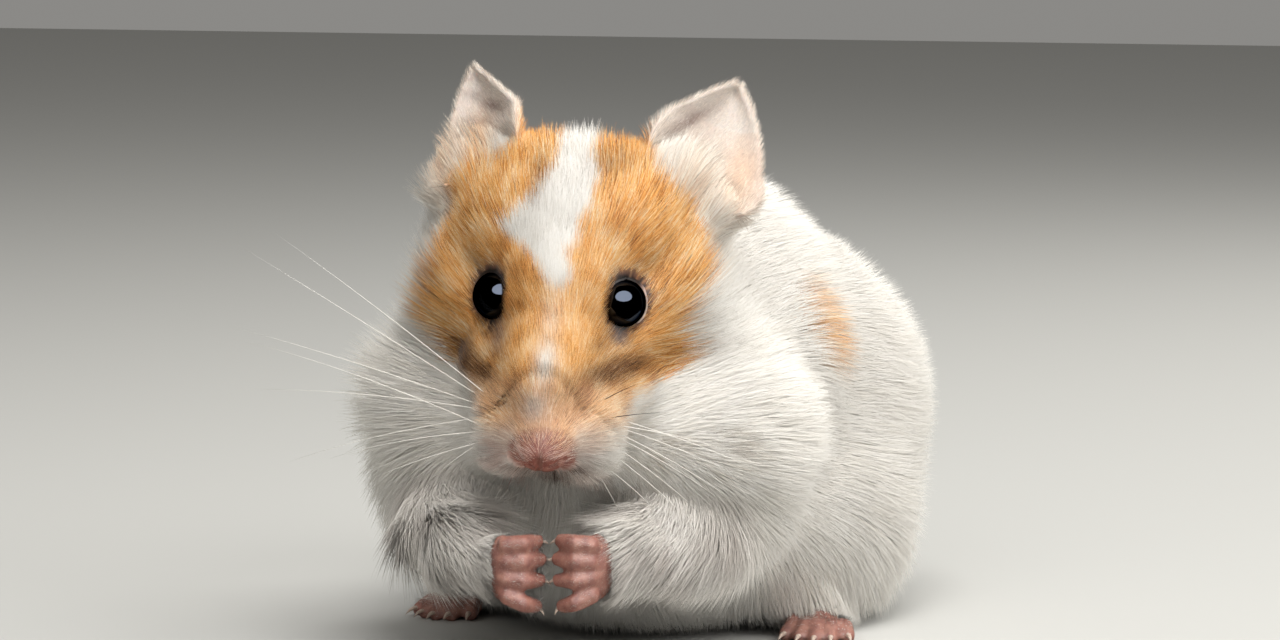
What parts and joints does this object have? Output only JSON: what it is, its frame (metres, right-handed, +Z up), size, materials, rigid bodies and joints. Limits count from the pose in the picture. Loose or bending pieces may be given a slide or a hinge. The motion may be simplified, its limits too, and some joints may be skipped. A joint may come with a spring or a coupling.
{
  "type": "hamster",
  "caption": "Syrian hamster, life size, white with a ginger face and a white blaze, crouched with both hands held up to its mouth",
  "frame": {"origin": "middle of the bounding box at its base, on the floor under the animal", "axes": "+Z up, -Y the way the animal faces, +X its own left side"},
  "size_m": [0.0732, 0.1106, 0.0791],
  "materials": {
    "white_coat": "dense soft fur, white with a cream and grey shade deep in it",
    "ginger_coat": "short dense fur, ginger with brown flashes and a white blaze",
    "pink_skin": "bare or thinly haired pink skin",
    "ear_skin": "thin skin with fine short hair, greyish inside",
    "black_eye": "wet gloss black"
  },
  "bodies": {
    "root": {"head": "ginger_coat", "neck": "white_coat", "trunk": "white_coat", "nose": "pink_skin", "tail": "pink_skin", "hindleg_left": "white_coat", "hindleg_right": "white_coat", "foreleg_left": "white_coat", "foreleg_right": "white_coat", "hand_left": "pink_skin", "hand_right": "pink_skin", "foot_left": "pink_skin", "foot_right": "pink_skin", "ear_left": "ear_skin", "ear_right": "ear_skin", "eye_left": "black_eye", "eye_right": "black_eye"}
  },
  "joints": []
}
